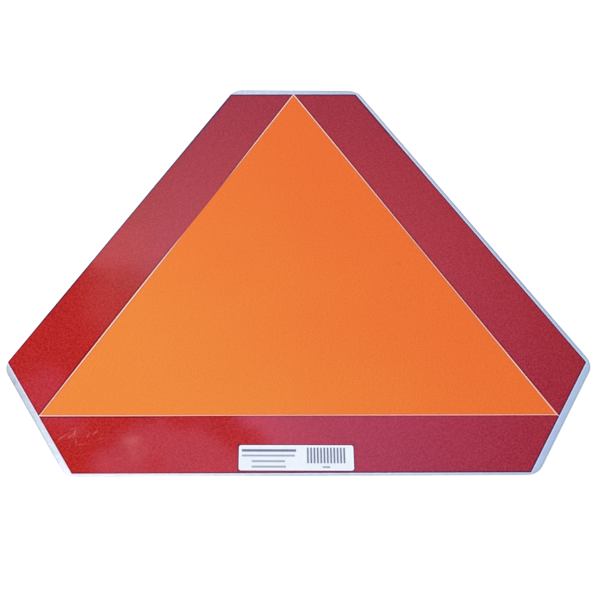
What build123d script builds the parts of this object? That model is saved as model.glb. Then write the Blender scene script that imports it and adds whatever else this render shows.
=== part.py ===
from build123d import *
from math import cos, radians, sin, sqrt, tan
import os

# A slow moving vehicle emblem: a triangular aluminium plate with its corners cut off, faced with an
# orange triangle, three red strips round it and a small label, each a piece of adhesive film.
# The sign lies on its back. X runs along its long bottom side, Y towards its top corner and Z out of
# its face. The origin is the middle of the plate's back. Lengths are in millimetres.

# The corners and the sides, as directions from the middle in degrees, anticlockwise from the top
corner_directions = (90, 210, 330)
side_directions = (150, 270, 30)

# Emblem: the orange triangle's side, taken to the middle of the pale line round it, and the width of
# the border from there to the strips' outer edges
emblem_side = 351.0
border_width = 44.2

# Films: laid a little to the left of the plate's middle, so that the left strip ends flush with its
# side. At each corner they are cut off just past the triangle's corner and a little out of square
film_thickness = 0.2
film_shift_left = 1.6
film_shift_down = 0.1
top_cut_margin = 0.3
left_cut_margin = 2.1
right_cut_margin = 0.3
film_cut_turns = (0.55, 0.55, 0.4)

# Plate: reaches past the films by a bare rim at the sides and a wider one at the cut corners
plate_thickness = 1.0
plate_corner_radius = 12.7
plate_edge_round = 0.2
side_rim = 1.675
top_cut_rim = 4.6
left_cut_rim = 4.3
right_cut_rim = 4.8
plate_cut_turns = (0, 0.35, 0.3)

# Pale line: bare plate between the orange triangle and the strips. It is uneven, and each row gives
# its width at even steps along a side, anticlockwise from corner to corner, as shares of line_width
line_width = 0.7
left_line_shares = (1.2, 1.0, 0.2, 1.05, 1.4, 1.3, 0.85)
bottom_line_shares = (1.25, 1.3, 0.95, 0.85, 0.9, 0.9, 0.75)
right_line_shares = (1.25, 1.1, 0.9, 0.8, 1.05, 1.3, 1.15)

# Label: a sticker near the bottom edge, slightly out of square
label_thickness = 0.1
label_width = 76.2
label_height = 19.05
label_corner_radius = 1.6
label_edge_distance = 1.75
label_shift_left = 2.9
label_turn = -0.3

# What follows from them. A reach is a distance from the middle, square to a side or to a cut corner
film_centre = (-film_shift_left, -film_shift_down)
emblem_side_reach = emblem_side / (2 * sqrt(3))
emblem_corner_reach = 2 * emblem_side_reach
orange_side_reach = emblem_side_reach - line_width / 2
film_side_reach = emblem_side_reach + border_width
plate_side_reach = film_side_reach + side_rim
cut_margins = (top_cut_margin, left_cut_margin, right_cut_margin)
cut_rims = (top_cut_rim, left_cut_rim, right_cut_rim)
film_cut_reaches = tuple(emblem_corner_reach + margin for margin in cut_margins)
plate_cut_reaches = tuple(reach + rim for reach, rim in zip(film_cut_reaches, cut_rims))
label_centre_x = -film_shift_left - label_shift_left
label_centre_y = -film_shift_down - film_side_reach + label_edge_distance + label_height / 2
half_third = 180 / len(side_directions)
beyond = 2 * plate_side_reach


def triangle(side_reach):
    """Draws an equilateral triangle, point up, in the sketch that is open."""
    RegularPolygon(side_reach, 3, major_radius=False, rotation=corner_directions[0])


def cut_corners(cut_reaches, cut_turns):
    """Cuts the three corners off what the open sketch holds, each turned about its own middle."""
    for direction, reach, turn in zip(corner_directions, cut_reaches, cut_turns):
        with PolarLocations(reach, 1, start_angle=direction):
            with Locations(Rotation(0, 0, turn)):
                Rectangle(beyond, 2 * beyond, align=(Align.MIN, Align.CENTER), mode=Mode.SUBTRACT)


def beside(direction, along, out):
    """A point that lies out from the middle towards a side and along that side, anticlockwise."""
    towards = radians(direction)
    x = out * cos(towards) - along * sin(towards)
    y = out * sin(towards) + along * cos(towards)
    return (x, y)


def strip_band(direction, line_shares):
    """The corners of a band that starts at the pale line's outer edge and runs off the plate."""
    reaches = [orange_side_reach + share * line_width for share in line_shares]
    step = emblem_side / (len(reaches) - 1)
    start = -emblem_side / 2
    inner = [beside(direction, start + i * step, reach) for i, reach in enumerate(reaches)]
    first = beside(direction, -beyond, reaches[0])
    last = beside(direction, beyond, reaches[-1])
    outer = [beside(direction, beyond, beyond), beside(direction, -beyond, beyond)]
    return [first, *inner, last, *outer]


def strip_third(direction):
    """The corners of the third of the face that a strip lies in, half a line width clear of the next."""
    tip = line_width / 2 / sin(radians(half_third))
    spread = beyond * tan(radians(half_third))
    far = tip + beyond
    return [beside(direction, 0, tip), beside(direction, spread, far), beside(direction, -spread, far)]


# Plate, punched from sheet, with the sharp edges of its two faces taken off
with BuildPart() as plate:
    with BuildSketch() as plate_outline:
        triangle(plate_side_reach)
        cut_corners(plate_cut_reaches, plate_cut_turns)
        fillet(plate_outline.vertices(), radius=plate_corner_radius)
    extrude(amount=plate_thickness)
    face_edges = plate.faces().sort_by(Axis.Z)[-1].edges() + plate.faces().sort_by(Axis.Z)[0].edges()
    fillet(face_edges, radius=plate_edge_round)
plate.part.label = "plate"

# The flat of the plate's face, which no film runs past
with BuildSketch() as face_flat:
    add(plate_outline.sketch)
    offset(amount=-plate_edge_round)

with BuildSketch() as film_outline:
    with Locations(film_centre):
        triangle(film_side_reach)
    cut_corners(film_cut_reaches, film_cut_turns)
    add(face_flat.sketch, mode=Mode.INTERSECT)

# Orange triangle, with sharp corners that almost reach the cuts
with BuildPart() as orange_triangle:
    with BuildSketch(Plane.XY.offset(plate_thickness)):
        with Locations(film_centre):
            triangle(orange_side_reach)
        add(film_outline.sketch, mode=Mode.INTERSECT)
    extrude(amount=film_thickness)
orange_triangle.part.label = "orange_triangle"


def red_strip(direction, line_shares):
    """A strip of the border, from the pale line to the outer edge, with its ends on two corner cuts."""
    with BuildPart() as strip:
        with BuildSketch(Plane.XY.offset(plate_thickness)):
            add(film_outline.sketch)
            with Locations(film_centre):
                Polygon(*strip_third(direction), align=None, mode=Mode.INTERSECT)
                Polygon(*strip_band(direction, line_shares), align=None, mode=Mode.INTERSECT)
        extrude(amount=film_thickness)
    return strip


red_strip_left = red_strip(side_directions[0], left_line_shares)
red_strip_left.part.label = "red_strip_left"
red_strip_bottom = red_strip(side_directions[1], bottom_line_shares)
red_strip_bottom.part.label = "red_strip_bottom"
red_strip_right = red_strip(side_directions[2], right_line_shares)
red_strip_right.part.label = "red_strip_right"

# Label, on the bottom strip
with BuildPart() as label:
    with BuildSketch(Plane.XY.offset(plate_thickness + film_thickness)):
        with Locations((label_centre_x, label_centre_y)):
            RectangleRounded(label_width, label_height, label_corner_radius, rotation=label_turn)
    extrude(amount=label_thickness)
label.part.label = "label"

os.makedirs("parts", exist_ok=True)
for piece in (plate, orange_triangle, red_strip_left, red_strip_bottom, red_strip_right, label):
    export_step(piece.part, f"parts/{piece.part.label}.step")
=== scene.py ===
"""A slow moving vehicle sign: a triangular aluminium plate with cut corners, faced with an orange film,
three red reflective strips and a small white label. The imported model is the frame, in metres: X runs
along the sign's long bottom side, Y towards its top corner and Z out of its face."""

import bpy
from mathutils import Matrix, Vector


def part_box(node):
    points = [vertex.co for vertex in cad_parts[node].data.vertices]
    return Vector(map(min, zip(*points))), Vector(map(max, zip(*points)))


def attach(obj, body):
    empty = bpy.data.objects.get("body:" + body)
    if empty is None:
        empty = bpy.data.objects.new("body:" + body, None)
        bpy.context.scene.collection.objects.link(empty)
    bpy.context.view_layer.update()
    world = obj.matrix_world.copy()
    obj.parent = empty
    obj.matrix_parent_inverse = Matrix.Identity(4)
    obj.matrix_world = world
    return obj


bl_info = {
    "name": "Slow moving vehicle sign",
    "version": (1, 0, 0),
    "blender": (4, 5, 0),
    "location": "3D View > Sidebar > Sign",
    "description": "Finishes the plate, films and label of a slow moving vehicle sign and sets its stage",
    "category": "Object",
}

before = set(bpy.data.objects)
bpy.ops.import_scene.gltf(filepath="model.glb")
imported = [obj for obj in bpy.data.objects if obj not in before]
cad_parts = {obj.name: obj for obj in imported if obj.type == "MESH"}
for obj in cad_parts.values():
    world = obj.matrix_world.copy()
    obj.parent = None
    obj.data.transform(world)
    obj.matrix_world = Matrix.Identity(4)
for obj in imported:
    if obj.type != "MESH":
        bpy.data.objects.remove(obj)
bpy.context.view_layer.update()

from math import cos, radians, sin

import bpy
from bpy.props import FloatProperty, FloatVectorProperty, IntProperty, PointerProperty
from mathutils import Vector

MM = 0.001
STRIPS = ("red_strip_left", "red_strip_bottom", "red_strip_right")

# Directions on the sign, in degrees anticlockwise from X
UP, LEFT, DOWN = 90, 180, 270
UPPER_RIGHT, LOW_LEFT, LOWER_LEFT, LOWER_RIGHT = 35, 225, 250, 300
LEFT_SIDE, BOTTOM_SIDE, RIGHT_SIDE = 150, 270, 30
TOP_CORNER, LEFT_CORNER, RIGHT_CORNER = 90, 210, 330
SIDES = (LEFT_SIDE, BOTTOM_SIDE, RIGHT_SIDE)
CORNERS = (TOP_CORNER, LEFT_CORNER, RIGHT_CORNER)
# Where the edges lie, in millimetres: how far from the films' or the plate's middle towards a side, and
# from the plate's middle towards a cut corner, where the cuts are turned a little out of square
FILM_CENTRE = (-1.6, -0.1, 0.0)
PLATE_CENTRE = (0.0, 0.0, 0.0)
ORANGE_REACH = 100.97
STRIP_OUTER_REACH = 145.52
# The gap between the orange triangle and each strip: its widths at even steps along the orange side,
# anticlockwise from corner to corner, as shares of GAP_WIDTH
ORANGE_SIDE = 351.0
GAP_WIDTH = 1.4
GAP_SHARES = (
    (0.6, 0.5, 0.1, 0.525, 0.7, 0.65, 0.425),
    (0.625, 0.65, 0.475, 0.425, 0.45, 0.45, 0.375),
    (0.625, 0.55, 0.45, 0.4, 0.525, 0.65, 0.575),
)
FILM_CUT_REACHES = (202.95, 204.75, 202.95)
FILM_CUT_TURNS = (0.55, 0.55, 0.4)
PLATE_SIDE_REACH = 147.2
PLATE_CUT_REACHES = (207.55, 209.05, 207.75)
PLATE_CUT_TURNS = (0, 0.35, 0.3)
PLATE_CORNER_RADIUS = 12.7
LABEL_SIZE = (76.2, 19.05)
LABEL_TURN = -0.3
# Where the left strip all but touches the orange triangle: that stretch's middle, size and turn
NARROW_PLACE = (-72.4, 80.0)
NARROW_SIZE = (112, 20)
NARROW_TURN = 60


def colour(name, description, default):
    """A colour that a user can change."""
    return FloatVectorProperty(name=name, description=description, subtype="COLOR", size=3, min=0, max=1,
                               default=default)


def length(name, description, default):
    """A length that a user can change."""
    return FloatProperty(name=name, description=description, subtype="DISTANCE", unit="LENGTH", min=0,
                         precision=5, default=default)


def share(name, description, default):
    """A strength or amount from nothing to full that a user can change."""
    return FloatProperty(name=name, description=description, subtype="FACTOR", min=0, max=1, default=default)


class PlateLook(bpy.types.PropertyGroup):
    """The bare aluminium and the primer under the films."""
    metal: colour("Metal", "Colour of the bare sheet where it is bright", (0.775, 0.86, 0.775))
    # Besides dull blotches, this colour paints shade along part of the top cut
    worn_and_shaded_metal: colour("Worn metal", "Colour of the dull blotches in the sheet", (0.60, 0.72, 0.70))
    # This line is painted shade along the plate's outer edge
    edge: colour("Edge", "Colour of the rubbed line along the plate's edge", (0.50, 0.60, 0.56))
    # These two colours paint a highlight on the bare metal at the lower left and along the bottom side
    painted_highlight: colour("Bloom", "Colour of the pale bloom at the lower left", (0.84, 0.915, 0.885))
    painted_highlight_end: colour("Bloom end", "Colour of the bloom along the bottom side", (1.0, 1.0, 0.99))
    glue: colour("Glue", "Colour of the glue that shows along the films' outer edges", (1.0, 0.84, 0.86))
    primer: colour("Primer", "Colour of the primer that shows between the films", (1.0, 0.50, 0.34))
    clean_primer: colour("Clean primer", "Colour of the primer where it is palest, as along the left side",
                         (1.0, 0.61, 0.47))
    stained_primer: colour("Stained primer", "Colour that the films give the primer where they all but touch",
                           (0.90, 0.13, 0.03))
    # This glow is painted light given off by the primer, which is no lamp
    primer_painted_glow: share("Primer glow", "How much light leaks onto the primer from the fluorescent film", 0.14)
    blotch_size: length("Blotch size", "Distance between dull blotches", 0.004)
    roll_pitch: length("Roll pitch", "Distance between the fine lines that rolling left", 0.0005)
    roughness: share("Roughness", "How dull the bare sheet is", 0.32)


class OrangeLook(bpy.types.PropertyGroup):
    """The fluorescent orange film."""
    # Lighter at the lower left and deeper at the top and right: partly painted light that is brighter towards
    # the lower left
    warm: colour("Warm orange", "Colour at the lower left, where it is lightest", (0.905, 0.243, 0.0250))
    deep: colour("Deep orange", "Colour at the top and right, where it is deepest", (0.915, 0.159, 0.0140))
    cut_edge: colour("Cut edge", "Colour of the film's cut edge and of specks", (0.40, 0.13, 0.05))
    frayed: colour("Frayed edge", "Colour of the film's own edge, where the top layer has drawn back",
                   (1.0, 0.42, 0.22))
    pinched: colour("Pinched edge", "Colour of that edge where a red strip all but touches it",
                    (1.0, 0.18, 0.06))
    # This glow at the film's edge is painted light
    painted_edge_glow: share("Edge glow", "How much light the fluorescent film gives off at its edge", 0.2)
    grain: colour("Grain", "How much lighter or darker a grain of the surface is", (0.042, 0.033, 0.0092))
    grain_size: length("Grain size", "Distance between the grains of the surface", 0.0012)
    roughness: share("Roughness", "How matte the film is", 0.62)


class RedLook(bpy.types.PropertyGroup):
    """The red reflective sheeting."""
    # Lighter at the lower left and deeper at the top and right: partly painted light that is brighter towards
    # the lower left
    bright: colour("Bright red", "Colour at the lower left, where it is lightest", (0.600, 0.024, 0.020))
    deep: colour("Deep red", "Colour at the top and right, where it is deepest", (0.425, 0.018, 0.019))
    cut_edge: colour("Cut edge", "Colour of the thin dark line along a cut edge", (0.13, 0.002, 0.006))
    # This colour also paints a shadow round the label
    outer_line_and_painted_shadow: colour("Outer edge", "Colour of the thin dark line along the edges beside the bare rim",
                       (0.06, 0.006, 0.035))
    bare_edge: colour("Bare edge", "Colour of the sheeting's own edge beside the pale line",
                      (1.0, 0.29, 0.22))
    scuff: colour("Scuff", "Colour of rubbed places and scratches", (0.75, 0.22, 0.20))
    grain: colour("Grain", "How much lighter or darker a grain of the surface is", (0.070, 0.018, 0.018))
    bead_size: length("Bead size", "Distance between the reflecting beads in the sheeting", 0.0004)
    roughness: share("Roughness", "How soft the sheeting's gloss is", 0.06)


class LabelLook(bpy.types.PropertyGroup):
    """The white label and the plain marks printed on it."""
    paper: colour("Paper", "Colour of the label's paper", (0.885, 0.92, 0.865))
    paper_edge: colour("Paper edge", "Colour of the paper's bare edge", (1.0, 0.99, 0.96))
    pale_ink: colour("Pale ink", "Colour of most of the plain rules", (0.33, 0.38, 0.44))
    dark_ink: colour("Dark ink", "Colour of the first rule and the plain bars", (0.10, 0.11, 0.21))
    ink_thickness: length("Ink thickness", "How far the ink stands up from the paper", 0.00002)
    rule_height: length("Rule height", "Height of a printed rule", 0.0014)
    bar_width: length("Bar width", "Width of a printed bar", 0.0011)
    bar_height: length("Bar height", "Height of a printed bar", 0.0118)
    bar_count: IntProperty(name="Bars", description="How many bars are printed", min=1, max=20, default=12)


class StageLook(bpy.types.PropertyGroup):
    """The floor, lamp, reflector, room and camera."""
    floor_size: length("Floor size", "Side of the square floor", 12.0)
    floor_colour: colour("Floor colour", "Colour of the floor near the sign", (0.92, 0.91, 0.90))
    key_power: FloatProperty(name="Key power", description="Power of the large soft lamp at the left",
                             unit="POWER", min=0, default=15.0)
    room_light: share("Room light", "Strength of the even light from all round", 0.52)
    lens: FloatProperty(name="Lens", description="Focal length of the camera", subtype="DISTANCE_CAMERA",
                        unit="CAMERA", min=1, default=78.49)


class SignLook(bpy.types.PropertyGroup):
    """All the sizes and colours of the sign's finishes and stage."""
    plate: PointerProperty(type=PlateLook, name="Plate", description="The bare aluminium and the primer")
    orange: PointerProperty(type=OrangeLook, name="Orange film", description="The fluorescent film")
    red: PointerProperty(type=RedLook, name="Red strips", description="The reflective sheeting")
    label: PointerProperty(type=LabelLook, name="Label", description="The label and its plain marks")
    stage: PointerProperty(type=StageLook, name="Stage", description="Floor, lamp, reflector and camera")


class Graph:
    """The nodes of a material or of the world, wired by short calls. An input may be a number, a
    colour, a vector or another node's output."""

    def __init__(self, tree):
        self.tree = tree
        tree.nodes.clear()

    def node(self, kind, inputs=(), **settings):
        made = self.tree.nodes.new(kind)
        for name, value in settings.items():
            setattr(made, name, value)
        for key, value in dict(inputs).items():
            self.feed(made.inputs[key], value)
        return made

    def feed(self, socket, value):
        if isinstance(value, bpy.types.NodeSocket):
            self.tree.links.new(value, socket)
        elif socket.type == "RGBA" and len(value) == 3:
            socket.default_value = (*value, 1)
        else:
            socket.default_value = value

    def maths(self, operation, *values):
        return self.node("ShaderNodeMath", enumerate(values), operation=operation).outputs[0]

    def plus(self, first, second):
        return self.maths("ADD", first, second)

    def less(self, first, second):
        return self.maths("SUBTRACT", first, second)

    def chain(self, operation, first, *others):
        """Combines values one after another."""
        for other in others:
            first = self.maths(operation, first, other)
        return first

    def times(self, *values):
        return self.chain("MULTIPLY", *values)

    def most(self, *values):
        return self.chain("MAXIMUM", *values)

    def least(self, *values):
        return self.chain("MINIMUM", *values)

    def vector_maths(self, operation, first, second=(0, 0, 0), scale=1):
        made = self.node("ShaderNodeVectorMath", {0: first, 1: second, 3: scale}, operation=operation)
        return made.outputs[1 if operation in ("DOT_PRODUCT", "LENGTH") else 0]

    def ease(self, value, start, end, low=0, high=1):
        """Goes smoothly from low to high while the value goes from start to end."""
        made = self.node("ShaderNodeMapRange", {"Value": value, "From Min": start, "From Max": end,
                                                "To Min": low, "To Max": high},
                         interpolation_type="SMOOTHSTEP")
        return made.outputs["Result"]

    def mix(self, amount, first, second):
        made = self.node("ShaderNodeMix", {0: amount, 6: first, 7: second}, data_type="RGBA")
        return made.outputs[2]

    def shade(self, first, amount):
        """A colour made lighter or darker by a factor."""
        return self.vector_maths("SCALE", first, scale=amount)

    def stretch(self, vector, factors, turn=0):
        """A vector turned and then scaled along each axis."""
        turned = self.node("ShaderNodeVectorRotate", {"Vector": vector, "Angle": radians(turn)},
                           rotation_type="Z_AXIS")
        return self.vector_maths("MULTIPLY", turned.outputs[0], factors)

    def noise(self, vector, scale, detail=2, roughness=0.5):
        made = self.node("ShaderNodeTexNoise", {"Vector": vector, "Scale": scale, "Detail": detail,
                                                "Roughness": roughness})
        return made.outputs["Fac"]

    def cells(self, vector, scale):
        """Each cell's own random grey."""
        made = self.node("ShaderNodeTexVoronoi", {"Vector": vector, "Scale": scale})
        return self.node("ShaderNodeSeparateColor", {0: made.outputs["Color"]}).outputs[0]

    def millimetres(self):
        """The place on the piece, in millimetres."""
        place = self.node("ShaderNodeTexCoord").outputs["Object"]
        return self.vector_maths("SCALE", place, scale=1 / MM)

    def towards(self, place, degrees):
        """How far a place lies from the middle in a direction."""
        return self.vector_maths("DOT_PRODUCT", place, (cos(radians(degrees)), sin(radians(degrees)), 0))

    def ramp(self, value, levels):
        """Goes straight from each level to the next at even steps while the value goes from 0 to 1."""
        made = self.node("ShaderNodeValToRGB", {0: value})
        stops = made.color_ramp.elements
        for number in range(1, len(levels) - 1):
            stops.new(number / (len(levels) - 1))
        for stop, level in zip(stops, levels):
            stop.color = (level, level, level, 1)
        return made.outputs[0]

    def past_gap(self, place):
        """How far a place lies past the inner edge of the strip that it is on."""
        place = self.vector_maths("SUBTRACT", place, FILM_CENTRE)
        past = []
        for direction, shares in zip(SIDES, GAP_SHARES):
            along = self.maths("MULTIPLY_ADD", self.towards(place, direction + 90), 1 / ORANGE_SIDE, 0.5)
            edge = self.maths("MULTIPLY_ADD", self.ramp(along, shares), GAP_WIDTH, ORANGE_REACH)
            past.append(self.less(self.towards(place, direction), edge))
        return self.most(*past)

    def side_reach(self, place, centre):
        """How far a place lies towards the side that is nearest to it."""
        place = self.vector_maths("SUBTRACT", place, centre)
        return self.most(*(self.towards(place, direction) for direction in SIDES))

    def inside_cuts(self, place, reaches, turns):
        """How far a place lies inside the nearest cut corner."""
        return self.least(*(self.less(reach * cos(radians(turn)), self.towards(place, direction + turn))
                            for direction, reach, turn in zip(CORNERS, reaches, turns)))

    def inside_films(self, place):
        """How far a place lies inside the outline that the films share."""
        return self.least(self.less(STRIP_OUTER_REACH, self.side_reach(place, FILM_CENTRE)),
                          self.inside_cuts(place, FILM_CUT_REACHES, FILM_CUT_TURNS))

    def inside_plate(self, place):
        """How far a place lies inside the plate's outline, which is rounded at its corners."""
        from_side = self.less(PLATE_SIDE_REACH, self.side_reach(place, PLATE_CENTRE))
        from_cut = self.inside_cuts(place, PLATE_CUT_REACHES, PLATE_CUT_TURNS)
        # Both edges meet at 120 degrees, so a corner's distance from the round's middle is the square
        # root of (a a + b b - a b) / 0.75, where a and b are what each edge lacks of the radius
        a = self.less(PLATE_CORNER_RADIUS, from_side)
        b = self.less(PLATE_CORNER_RADIUS, from_cut)
        squares = self.plus(self.times(a, a), self.times(b, b))
        square = self.maths("DIVIDE", self.less(squares, self.times(a, b)), 0.75)
        rounded = self.less(PLATE_CORNER_RADIUS, self.maths("SQRT", square))
        in_round = self.times(self.maths("GREATER_THAN", a, self.times(b, 0.5)),
                              self.maths("GREATER_THAN", b, self.times(a, 0.5)),
                              self.maths("GREATER_THAN", a, 0), self.maths("GREATER_THAN", b, 0))
        straight = self.least(from_side, from_cut)
        return self.plus(self.times(in_round, rounded), self.times(self.less(1, in_round), straight))

    def inside_label(self, place):
        """How far a place lies inside the label's outline."""
        low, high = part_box("label")
        local = self.vector_maths("SUBTRACT", place, (low + high) / 2 / MM)
        local = self.vector_maths("ABSOLUTE", self.stretch(local, (1, 1, 0), -LABEL_TURN))
        x, y, _ = self.node("ShaderNodeSeparateXYZ", {0: local}).outputs
        return self.least(self.less(LABEL_SIZE[0] / 2, x), self.less(LABEL_SIZE[1] / 2, y))

    def spot(self, place, centre, size, turn=0, border=1):
        """One in the middle of an oval of this length and width, and nothing outside it. The border that
        it fades over is a share of the oval."""
        local = self.vector_maths("SUBTRACT", place, (*centre, 0))
        local = self.stretch(local, (2 / size[0], 2 / size[1], 0), -turn)
        return self.ease(self.vector_maths("LENGTH", local), 1, 1 - border)

    def apart(self, place):
        """One, but nothing where the left strip all but touches the orange triangle."""
        return self.less(1, self.spot(place, NARROW_PLACE, NARROW_SIZE, NARROW_TURN, 0.7))

    def bump(self, height, distance, normal=None):
        inputs = {"Height": height, "Distance": distance, "Strength": 1}
        if normal:
            inputs["Normal"] = normal
        return self.node("ShaderNodeBump", inputs).outputs[0]

    def surface(self, inputs):
        """Ends the tree in a principled shader with these inputs."""
        shader = self.node("ShaderNodeBsdfPrincipled", inputs)
        self.node("ShaderNodeOutputMaterial", {"Surface": shader.outputs[0]})


def new_material(name):
    material = bpy.data.materials.new(name)
    material.use_nodes = True
    return material, Graph(material.node_tree)


def wear(material, node_name):
    """Gives a CAD node a material in its own slots."""
    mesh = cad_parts[node_name].data
    if not mesh.materials:
        mesh.materials.append(material)
    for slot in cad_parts[node_name].material_slots:
        slot.material = material


# Painted shade on the bare metal along part of the top cut: its middle and size in millimetres
SHADED_RIM_PLACE = (45, 206)
SHADED_RIM_SIZE = (130, 30)


class SIGN_OT_plate(bpy.types.Operator):
    """Finishes the plate as rolled aluminium, with primer under the films"""
    bl_idname = "sign.plate"
    bl_label = "Plate"

    def execute(self, context):
        look = context.scene.sign_look.plate
        material, graph = new_material("rolled_aluminium")
        place = graph.millimetres()
        # Primer and glue are on the upper face only, which lies 1 mm up
        inside = graph.inside_films(place)
        height = graph.node("ShaderNodeSeparateXYZ", {0: place}).outputs[2]
        on_face = graph.ease(height, 0.9, 0.99)
        primed = graph.times(graph.ease(inside, 0.6, 1.4), on_face)

        # Bare metal, duller in blotches, with painted shade along part of the top cut
        blotches = graph.ease(graph.noise(place, MM / look.blotch_size, 3, 0.6), 0.35, 0.65)
        clouds = graph.noise(place, 0.02, 2)
        lines = graph.noise(graph.stretch(place, (0.02, 1, 1)), MM / look.roll_pitch, 2, 0.6)
        metal = graph.mix(graph.times(blotches, 0.55), look.metal, look.worn_and_shaded_metal)
        metal = graph.mix(graph.times(graph.spot(place, SHADED_RIM_PLACE, SHADED_RIM_SIZE), 0.6), metal, look.worn_and_shaded_metal)
        metal = graph.shade(metal, graph.ease(lines, 0.3, 0.7, 0.95, 1.03))

        # Painted highlight, pale and strongest at the lower left and along the left half of the bottom side
        lower_left = graph.towards(place, LOWER_LEFT)
        painted_highlight = graph.times(graph.ease(lower_left, 122, 180, 0, 0.86), graph.ease(blotches, 0, 1, 1, 0.6))
        along_bottom = graph.ease(graph.towards(place, DOWN), 128, 145)
        whitened = graph.times(along_bottom, graph.ease(graph.towards(place, LEFT), 0, 90))
        painted_highlight = graph.most(painted_highlight, whitened)
        metal = graph.mix(painted_highlight, metal, graph.mix(along_bottom, look.painted_highlight, look.painted_highlight_end))

        # Painted shade along the plate's edge, and the glue along the films' outer edges
        rubbed = graph.times(graph.ease(graph.inside_plate(place), 1.35, 0.5),
                             graph.ease(lower_left, 145, 195, 0.85, 0.3), graph.less(1, whitened))
        metal = graph.mix(rubbed, metal, look.edge)
        glued = graph.times(graph.ease(inside, -1.2, -0.6), on_face,
                            graph.ease(graph.towards(place, RIGHT_CORNER), 120, 200, 1, 0.6))
        metal = graph.mix(glued, metal, look.glue)

        # Primer in the gaps: palest along the left side and low on the right one
        clean = graph.times(graph.ease(graph.towards(place, RIGHT_SIDE), 80, 95),
                            graph.ease(graph.towards(place, LOWER_RIGHT), 80, 150, 0, 0.8))
        clean = graph.most(clean, graph.ease(graph.towards(place, LEFT_SIDE), 60, 95))
        primer = graph.mix(clean, look.primer, look.clean_primer)
        stained = graph.most(graph.less(1, graph.apart(place)),
                             graph.ease(graph.towards(place, BOTTOM_SIDE), 60, 95, 0, 0.15))
        primer = graph.mix(stained, primer, look.stained_primer)

        shown = graph.mix(primed, metal, primer)
        shown = graph.shade(shown, graph.ease(blotches, 0, 1, 1.02, 0.95))
        dullness = graph.plus(look.roughness - 0.08, graph.times(blotches, 0.1))
        dullness = graph.plus(dullness, graph.times(clouds, 0.1))
        relief = graph.bump(lines, 0.000008, graph.bump(blotches, 0.00001))
        # The primer's emission is a painted glow
        graph.surface({"Base Color": shown, "Metallic": graph.less(1, graph.most(primed, glued, painted_highlight)),
                       "Roughness": dullness, "Normal": relief, "Emission Color": primer,
                       "Emission Strength": graph.times(primed, look.primer_painted_glow)})
        wear(material, "plate")
        return {"FINISHED"}


# Specks on the orange film: place and size in millimetres, and strength
SPECKS = (
    ((73.6, 28.7), (6, 5), 0.3),
    ((-11.3, -33.6), (5, 4), 0.12),
)


class SIGN_OT_orange_film(bpy.types.Operator):
    """Finishes the middle triangle as matte fluorescent film"""
    bl_idname = "sign.orange_film"
    bl_label = "Orange film"

    def execute(self, context):
        look = context.scene.sign_look.orange
        material, graph = new_material("fluorescent_orange_film")
        place = graph.millimetres()
        inside = graph.less(ORANGE_REACH, graph.side_reach(place, FILM_CENTRE))
        clouds = graph.noise(place, 0.012, 3)
        # Light at the lower left to deep at the upper right: partly painted light, partly the film's own
        # cloudy tone
        painted_light_and_drift = graph.plus(graph.towards(place, UPPER_RIGHT), graph.ease(clouds, 0.2, 0.8, -22, 22))
        base = graph.mix(graph.ease(painted_light_and_drift, -150, 110), look.warm, look.deep)
        grain = graph.noise(place, MM / look.grain_size, 3, 0.7)
        weave = graph.noise(graph.stretch(place, (1, 0.25, 1)), 1.4, 2)
        base = graph.vector_maths("ADD", base, graph.shade(look.grain, graph.ease(grain, 0.25, 0.75, -1, 1)))
        base = graph.shade(base, graph.ease(weave, 0.25, 0.75, 0.975, 1.025))
        for centre, size, strength in SPECKS:
            base = graph.mix(graph.times(graph.spot(place, centre, size), strength), base, look.cut_edge)

        # The film's edge: a darker line, and beside the gap the frayed top layer with a painted glow
        apart = graph.apart(place)
        cut = graph.times(graph.ease(inside, 0.9, 0.4), apart,
                          graph.ease(graph.towards(place, BOTTOM_SIDE), 80, 95, 0.92, 0.6))
        base = graph.mix(cut, base, look.cut_edge)
        frayed = graph.ease(inside, 0.18, 0.04)
        frayed_colour = graph.mix(apart, look.pinched, look.frayed)
        base = graph.mix(frayed, base, frayed_colour)
        graph.surface({"Base Color": base, "Roughness": look.roughness, "Normal": graph.bump(grain, 0.00002),
                       "Specular IOR Level": 0.25, "Emission Color": frayed_colour,
                       "Emission Strength": graph.times(frayed, look.painted_edge_glow)})
        wear(material, "orange_triangle")
        return {"FINISHED"}


# Scratches in the red sheeting: place and length in millimetres, turn in degrees, and strength
SCRATCHES = (
    ((-159.5, -117.6), 15.0, 40, 0.50),
    ((-155.0, -117.4), 9.0, 48, 0.60),
    ((-154.0, -111.8), 8.0, 20, 0.35),
    ((-152.3, -115.0), 13.0, 84, 0.60),
    ((-151.0, -122.0), 9.0, 95, 0.35),
    ((-147.0, -123.8), 12.0, 2, 0.25),
    ((-143.4, -117.2), 8.0, 70, 0.45),
    ((-138.6, -114.6), 9.0, 50, 0.40),
    ((-135.0, -119.5), 7.0, 25, 0.25),
    ((-125.5, -136.0), 24.0, 20, 0.28),
    ((-116.5, -126.6), 9.0, 0, 0.35),
    ((-111.8, -131.0), 13.0, 88, 0.25),
)
SCRATCH_WIDTH = 1.8
# The duller patch of red to the left of the label: its middle and size in millimetres
DULL_PLACE = (-96, -126)
DULL_SIZE = (100, 100)
# Rubbed places in the red sheeting: place and size in millimetres, turn in degrees, and strength
SCUFFS = (
    ((-113.6, -121.4), (21, 16), 10, 0.30),
    ((-112.2, -127.0), (15, 34), 8, 0.15),
    ((-108.0, -129.0), (26, 18), 60, 0.08),
    ((-150.0, -114.0), (20, 12), 60, 0.07),
)


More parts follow.
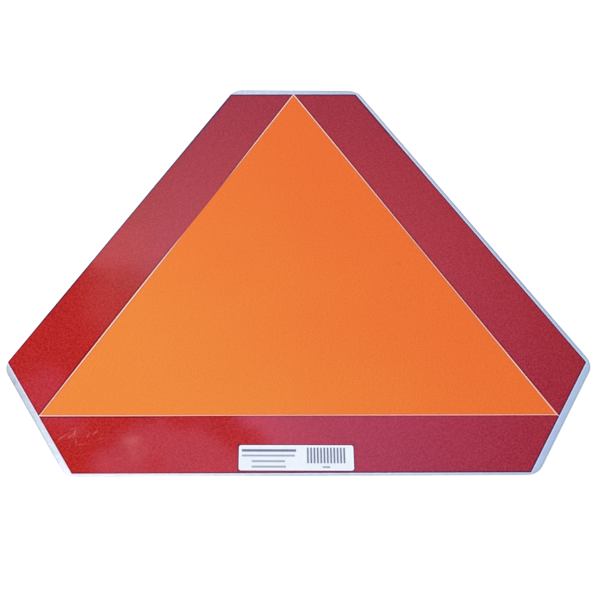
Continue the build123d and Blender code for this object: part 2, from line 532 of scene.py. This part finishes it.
class SIGN_OT_red_strips(bpy.types.Operator):
    """Finishes the three border strips as red reflective sheeting"""
    bl_idname = "sign.red_strips"
    bl_label = "Red strips"

    def execute(self, context):
        look = context.scene.sign_look.red
        material, graph = new_material("red_reflective_sheeting")
        place = graph.millimetres()
        clouds = graph.noise(place, 0.02, 3)
        # Light at the lower left to deep at the upper right: partly painted light, partly the sheeting's own
        # cloudy tone
        painted_light_and_drift = graph.plus(graph.towards(place, UPPER_RIGHT), graph.ease(clouds, 0.2, 0.8, -30, 30))
        base = graph.mix(graph.ease(painted_light_and_drift, -210, -20), look.bright, look.deep)
        base = graph.shade(base, graph.ease(graph.vector_maths("LENGTH", place), 90, 225, 1.07, 0.90))
        dull = graph.spot(place, DULL_PLACE, DULL_SIZE, border=0.8)
        base = graph.shade(base, graph.ease(dull, 0, 1, 1, 0.93))
        beads = graph.cells(place, MM / look.bead_size)
        grain = graph.noise(place, 0.7, 3, 0.7)
        base = graph.vector_maths("ADD", base, graph.shade(look.grain, graph.ease(grain, 0.25, 0.75, -1, 1)))
        base = graph.shade(base, graph.ease(beads, 0, 1, 0.90, 1.10))

        ragged = graph.ease(graph.noise(place, 0.5, 3, 0.7), 0.3, 0.6)
        marks = [graph.times(graph.spot(place, centre, size, turn), strength)
                 for centre, size, turn, strength in SCUFFS]
        marks += [graph.times(graph.spot(place, centre, (size, SCRATCH_WIDTH), turn), ragged, strength)
                  for centre, size, turn, strength in SCRATCHES]
        marked = graph.most(*marks)
        base = graph.mix(marked, base, look.scuff)

        # Dark lines along the cut edges, a painted shadow round the label, and the sheeting's own edge beside
        # the gap. The line at the rim widens towards the top
        from_gap = graph.past_gap(place)
        from_rim = graph.times(graph.inside_films(place),
                               graph.ease(graph.towards(place, UP), 60, 190, 1, 0.6))
        apart = graph.ease(graph.apart(place), 0, 1, 0.2, 1)
        depth = graph.most(graph.ease(graph.towards(place, BOTTOM_SIDE), 80, 95, 1, 0.6),
                           graph.ease(graph.towards(place, LEFT), 70, 110, 0, 0.95))
        inner_cut = graph.times(graph.ease(from_gap, 1.4, 0.9), apart, depth)
        bare = graph.times(graph.ease(from_gap, 0.30, 0.05), apart)
        outer_cut = graph.times(graph.ease(from_rim, 1.25, 0.6),
                                graph.ease(graph.towards(place, LOW_LEFT), 120, 180, 1, 0.55))
        label_painted_shadow = graph.ease(graph.inside_label(place), -1.3, -0.6, 0, 0.7)
        base = graph.mix(inner_cut, base, look.cut_edge)
        base = graph.mix(bare, base, look.bare_edge)
        base = graph.mix(graph.most(outer_cut, label_painted_shadow), base, look.outer_line_and_painted_shadow)

        dullness = graph.plus(look.roughness, graph.times(marked, 0.5))
        dullness = graph.plus(dullness, graph.ease(grain, 0.3, 0.7, -0.02, 0.02))
        relief = graph.bump(graph.noise(place, 0.25, 2), 0.000008, graph.bump(beads, 0.000001))
        graph.surface({"Base Color": base, "Roughness": dullness, "Normal": relief,
                       "Specular IOR Level": 0.6})
        for strip in STRIPS:
            wear(material, strip)
        return {"FINISHED"}


class SIGN_OT_label(bpy.types.Operator):
    """Finishes the label as smooth white paper"""
    bl_idname = "sign.label"
    bl_label = "Label"

    def execute(self, context):
        look = context.scene.sign_look.label
        material, graph = new_material("white_label_paper")
        place = graph.millimetres()
        fibres = graph.noise(graph.stretch(place, (1, 2.5, 1), 20), 2.2, 3, 0.6)
        clouds = graph.noise(place, 0.08, 2)
        base = graph.mix(graph.ease(graph.inside_label(place), 1.4, 0.7), look.paper, look.paper_edge)
        base = graph.shade(base, graph.ease(fibres, 0.3, 0.7, 0.97, 1.02))
        base = graph.shade(base, graph.ease(clouds, 0.3, 0.7, 0.98, 1.01))
        graph.surface({"Base Color": base, "Roughness": 0.42, "Normal": graph.bump(fibres, 0.000004)})
        wear(material, "label")
        return {"FINISHED"}


def printed_mark(name, centre, size, turn, corner, z, thickness):
    """A flat patch of ink with rounded corners, standing up from the paper."""
    bpy.ops.object.select_all(action="DESELECT")
    bpy.ops.mesh.primitive_plane_add(size=1, location=(*centre, z), rotation=(0, 0, turn))
    piece = bpy.context.active_object
    piece.name = piece.data.name = name
    piece.scale = (*size, 1)
    bpy.ops.object.transform_apply(location=False, rotation=False, scale=True)
    bpy.ops.object.mode_set(mode="EDIT")
    bpy.ops.mesh.select_all(action="SELECT")
    bpy.ops.mesh.bevel(offset=corner, segments=3, affect="VERTICES")
    bpy.ops.mesh.extrude_region_move(TRANSFORM_OT_translate={"value": (0, 0, thickness)})
    bpy.ops.mesh.select_all(action="SELECT")
    bpy.ops.mesh.normals_make_consistent(inside=False)
    bpy.ops.object.mode_set(mode="OBJECT")
    bpy.ops.object.transform_apply(location=True, rotation=True, scale=True)
    return piece


def copied_mark(first, name, move):
    """A copy of a patch of ink, moved along the paper."""
    bpy.ops.object.select_all(action="DESELECT")
    first.select_set(True)
    bpy.context.view_layer.objects.active = first
    bpy.ops.object.duplicate_move(TRANSFORM_OT_translate={"value": move})
    bpy.ops.object.transform_apply(location=True, rotation=True, scale=True)
    piece = bpy.context.active_object
    piece.name = piece.data.name = name
    return piece


def ink(name, hue):
    """A flat printing ink that covers the paper a little unevenly."""
    material, graph = new_material(name)
    place = graph.millimetres()
    cover = graph.noise(place, 1.8, 3, 0.7)
    base = graph.mix(graph.ease(cover, 0.35, 0.75, 0, 0.35), hue, (0.6, 0.65, 0.72))
    graph.surface({"Base Color": base, "Roughness": 0.5})
    return material


# Rules on the label: place from its middle and length in millimetres, height as a share of the rule
# height, and ink. The last stands under the bars
RULES = (
    ((-18.1, 5.5), 36.0, 1.3, "dark_ink"),
    ((-18.5, 1.6), 35.2, 1.0, "pale_ink"),
    ((-18.5, -2.6), 22.0, 1.0, "pale_ink"),
    ((-18.3, -6.7), 22.6, 1.0, "pale_ink"),
    ((19.8, -7.0), 5.0, 1.0, "pale_ink"),
)
BARS_PLACE = (19.8, 1.8)
RULE_CORNER = 0.0002
BAR_CORNER = 0.0001


class SIGN_OT_label_print(bpy.types.Operator):
    """Prints plain rules and evenly spaced plain bars on the label"""
    bl_idname = "sign.label_print"
    bl_label = "Label print"

    def execute(self, context):
        look = context.scene.sign_look.label
        low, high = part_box("label")
        middle = (low + high) / 2
        turn = radians(LABEL_TURN)

        def on_label(x, y):
            return (middle.x + x * cos(turn) - y * sin(turn), middle.y + x * sin(turn) + y * cos(turn))

        def mark(name, x, y, size, corner):
            return printed_mark(name, on_label(x, y), size, turn, corner, high.z, look.ink_thickness)

        inks = {name: ink(name, getattr(look, name)) for name in ("pale_ink", "dark_ink")}

        def rule(number):
            (x, y), width, height, fill = RULES[number - 1]
            size = (width * MM, height * look.rule_height)
            return mark(f"label_rule_{number}", x * MM, y * MM, size, RULE_CORNER), inks[fill]

        marks = [rule(number) for number in range(1, len(RULES))]
        pitch = 2 * look.bar_width
        first_x = BARS_PLACE[0] * MM - (look.bar_count - 1) / 2 * pitch
        first_bar = mark("label_bar_1", first_x, BARS_PLACE[1] * MM, (look.bar_width, look.bar_height),
                         BAR_CORNER)
        marks.append((first_bar, inks["dark_ink"]))
        for number in range(1, look.bar_count):
            move = (number * pitch * cos(turn), number * pitch * sin(turn), 0)
            marks.append((copied_mark(first_bar, f"label_bar_{number + 1}", move), inks["dark_ink"]))
        marks.append(rule(len(RULES)))
        for piece, fill in marks:
            piece.data.materials.append(fill)
            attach(piece, "root")
        return {"FINISHED"}


# The camera stands where the photograph's perspective puts it
CAMERA_PLACE = (-0.028303, -0.561589, 0.762631)
CAMERA_TURN = (0.631641, -0.024959, -0.016945)
SENSOR_WIDTH = 36
NEAR_CLIP = 0.01
# The reflector stands across the camera's mirrored line of sight
REFLECTOR_PLACE = (0.038315, 0.807321, 1.034759)
REFLECTOR_AXIS = (0.029473, 0.605632, 0.795199)
REFLECTOR_SIZE = (2.4, 1.9)
REFLECTOR_STRENGTH = 1.35
# Patches of the reflector: place and size in millimetres, turn, border and colour. The first is the
# dark gap beside the cloth, and the others are paler things that show inside the gap
CLOTH_PATCHES = (
    ((-425, 335), (710, 716), 0, 0.09, (0.02, 0.02, 0.02)),
    ((-75, 288), (110, 60), 30, 0.6, (0.05, 0.05, 0.08)),
    ((-212, 362), (262, 206), 0, 0.12, (0.62, 0.46, 0.84)),
    ((-232, 340), (40, 130), 0, 0.8, (0.55, 0.30, 0.45)),
    ((-160, 266), (120, 30), 10, 0.9, (0.20, 0.12, 0.25)),
    ((-430, 238), (175, 138), 20, 0.45, (0.24, 0.22, 0.49)),
    ((-320, 90), (110, 210), -35, 0.9, (0.32, 0.30, 0.28)),
    ((-295, 25), (190, 110), 0, 0.9, (0.50, 0.44, 0.42)),
)
# The lamp, what it points at and how wide it is
KEY_PLACE = (-0.46, -0.10, 1.74)
KEY_AIM = (-0.05, 0, 0)
KEY_WIDTH = 0.7
# The floor lies just under the plate's back
FLOOR_HEIGHT = -0.0001


class SIGN_OT_stage(bpy.types.Operator):
    """Sets the floor, the reflector, the lamp, the room and the camera"""
    bl_idname = "sign.stage"
    bl_label = "Stage"

    def execute(self, context):
        look = context.scene.sign_look.stage
        self.make_floor(look)
        self.make_reflector()
        self.make_key(look)
        self.make_world(context.scene, look)
        self.make_camera(context.scene, look)
        return {"FINISHED"}

    def seen(self, graph):
        """One for rays from the camera, a reflection or a transmission."""
        path = graph.node("ShaderNodeLightPath").outputs
        return graph.most(path["Is Camera Ray"], path["Is Glossy Ray"], path["Is Transmission Ray"])

    def make_floor(self, look):
        bpy.ops.object.select_all(action="DESELECT")
        bpy.ops.mesh.primitive_plane_add(size=look.floor_size, location=(0, 0, FLOOR_HEIGHT))
        floor = bpy.context.active_object
        floor.name = "floor"
        material, graph = new_material("pale_floor")
        place = graph.node("ShaderNodeTexCoord").outputs["Object"]
        away = graph.vector_maths("LENGTH", place)
        diffuse = graph.node("ShaderNodeBsdfDiffuse", {"Color": look.floor_colour}).outputs[0]
        white = graph.node("ShaderNodeEmission", {"Color": (1, 1, 1), "Strength": 1}).outputs[0]
        seen = self.seen(graph)
        glow = graph.times(seen, graph.ease(away, 0.3, 1.2, 0.3, 1))
        lit = graph.node("ShaderNodeMixShader", {0: glow, 1: diffuse, 2: white}).outputs[0]
        lift = graph.node("ShaderNodeEmission", {"Color": (1, 1, 1), "Strength": graph.times(seen, 0.2)})
        both = graph.node("ShaderNodeAddShader", {0: lit, 1: lift.outputs[0]}).outputs[0]
        graph.node("ShaderNodeOutputMaterial", {"Surface": both})
        floor.data.materials.append(material)

    def make_reflector(self):
        bpy.ops.object.select_all(action="DESELECT")
        facing = (-Vector(REFLECTOR_AXIS)).to_track_quat("Z", "Y").to_euler()
        bpy.ops.mesh.primitive_plane_add(size=1, location=REFLECTOR_PLACE, rotation=facing)
        reflector = bpy.context.active_object
        reflector.name = "reflector"
        reflector.scale = (*REFLECTOR_SIZE, 1)
        bpy.ops.object.transform_apply(location=False, rotation=False, scale=True)
        material, graph = new_material("reflector_cloth")
        place = graph.millimetres()
        place = graph.vector_maths("ADD", place, graph.ease(graph.noise(place, 0.02), 0.3, 0.7, -14, 14))
        across, down, _ = graph.node("ShaderNodeSeparateXYZ", {0: place}).outputs
        # The cloth is palest at the left and low down, and dims to violet at the right
        fade = graph.ease(down, -340, 60, 0.48, 1)
        red = graph.times(graph.ease(across, -100, 450, 0.60, 0.26), fade)
        green = graph.times(graph.ease(across, -60, 560, 0.62, 0.13), fade)
        blue = graph.times(graph.ease(across, 60, 560, 1.30, 0.35), graph.ease(down, -260, 280, 0.44, 1),
                           graph.ease(across, -330, -180, 0.80, 1))
        cloth = graph.node("ShaderNodeCombineColor", {0: red, 1: green, 2: blue}).outputs[0]
        tint = graph.shade(cloth, graph.ease(across, -220, 60, 1.45, 1))
        # The pale room shows beyond its right edge and above it
        tint = graph.mix(graph.ease(across, 525, 640), tint, (0.40, 0.74, 0.92))
        above = graph.shade((0.84, 0.88, 0.92), graph.ease(across, -220, 220, 1.20, 0.78))
        tint = graph.mix(graph.ease(down, -350, -480), tint, above)
        for centre, size, turn, border, hue in CLOTH_PATCHES:
            tint = graph.mix(graph.spot(place, centre, size, turn, border), tint, hue)
        glow = graph.node("ShaderNodeEmission", {"Color": tint, "Strength": REFLECTOR_STRENGTH}).outputs[0]
        graph.node("ShaderNodeOutputMaterial", {"Surface": glow})
        reflector.data.materials.append(material)
        reflector.visible_camera = False

    def make_key(self, look):
        aim = (Vector(KEY_PLACE) - Vector(KEY_AIM)).to_track_quat("Z", "Y").to_euler()
        bpy.ops.object.light_add(type="AREA", location=KEY_PLACE, rotation=aim)
        key = bpy.context.active_object
        key.name = "key"
        key.data.shape = "DISK"
        key.data.size = KEY_WIDTH
        key.data.energy = look.key_power
        key.visible_camera = False

    def make_world(self, scene, look):
        world = bpy.data.worlds.new("studio")
        world.use_nodes = True
        scene.world = world
        graph = Graph(world.node_tree)
        strength = graph.most(self.seen(graph), look.room_light)
        glow = graph.node("ShaderNodeBackground", {"Color": (1, 1, 1), "Strength": strength}).outputs[0]
        graph.node("ShaderNodeOutputWorld", {"Surface": glow})

    def make_camera(self, scene, look):
        bpy.ops.object.camera_add(location=CAMERA_PLACE, rotation=CAMERA_TURN)
        camera = bpy.context.active_object
        camera.name = "camera"
        camera.data.lens = look.lens
        camera.data.sensor_width = SENSOR_WIDTH
        camera.data.dof.use_dof = False
        camera.data.clip_start = NEAR_CLIP
        scene.camera = camera
        scene.view_settings.view_transform = "Standard"


class SIGN_PT_panel(bpy.types.Panel):
    """Lists the sign's steps and their sizes and colours"""
    bl_label = "Slow moving vehicle sign"
    bl_idname = "SIGN_PT_panel"
    bl_space_type = "VIEW_3D"
    bl_region_type = "UI"
    bl_category = "Sign"

    def draw(self, context):
        look = context.scene.sign_look
        for title, group, steps in (
            ("Plate", look.plate, (SIGN_OT_plate,)),
            ("Orange film", look.orange, (SIGN_OT_orange_film,)),
            ("Red strips", look.red, (SIGN_OT_red_strips,)),
            ("Label", look.label, (SIGN_OT_label, SIGN_OT_label_print)),
            ("Stage", look.stage, (SIGN_OT_stage,)),
        ):
            box = self.layout.box()
            box.label(text=title)
            for name in group.__annotations__:
                box.prop(group, name)
            for step in steps:
                box.operator(step.bl_idname)


CLASSES = (PlateLook, OrangeLook, RedLook, LabelLook, StageLook, SignLook, SIGN_OT_plate, SIGN_OT_orange_film,
           SIGN_OT_red_strips, SIGN_OT_label, SIGN_OT_label_print, SIGN_OT_stage, SIGN_PT_panel)


def register():
    for each in CLASSES:
        bpy.utils.register_class(each)
    bpy.types.Scene.sign_look = PointerProperty(type=SignLook, name="Sign", description="The sign's finishes")


def unregister():
    del bpy.types.Scene.sign_look
    for each in reversed(CLASSES):
        bpy.utils.unregister_class(each)


def main():
    register()
    bpy.ops.sign.plate()
    bpy.ops.sign.orange_film()
    bpy.ops.sign.red_strips()
    bpy.ops.sign.label()
    bpy.ops.sign.label_print()
    bpy.ops.sign.stage()


if __name__ == "__main__":
    main()
